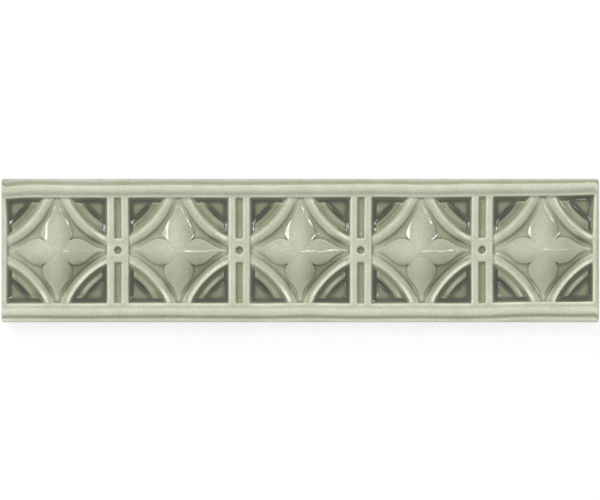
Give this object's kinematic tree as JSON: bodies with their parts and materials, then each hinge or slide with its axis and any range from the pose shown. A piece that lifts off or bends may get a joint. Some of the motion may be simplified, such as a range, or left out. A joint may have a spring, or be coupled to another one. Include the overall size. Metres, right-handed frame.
{
  "type": "relief border tile",
  "caption": "Narrow glazed ceramic wall border tile with moulded rails along its edges and a row of square relief panels of pointed flowers framed by curved ribs, parted by barred dividers.",
  "frame": {"origin": "centre of the plain back face, on which the tile lies", "axes": "+X along the tile's length, +Y across its width, +Z out of the decorated face"},
  "size_m": [0.25, 0.06, 0.0109],
  "materials": {
    "celadon_glaze": "gloss translucent grey-green glaze, pale on edges and dark in hollows"
  },
  "bodies": {
    "root": {"border_tile": "celadon_glaze"}
  },
  "joints": []
}
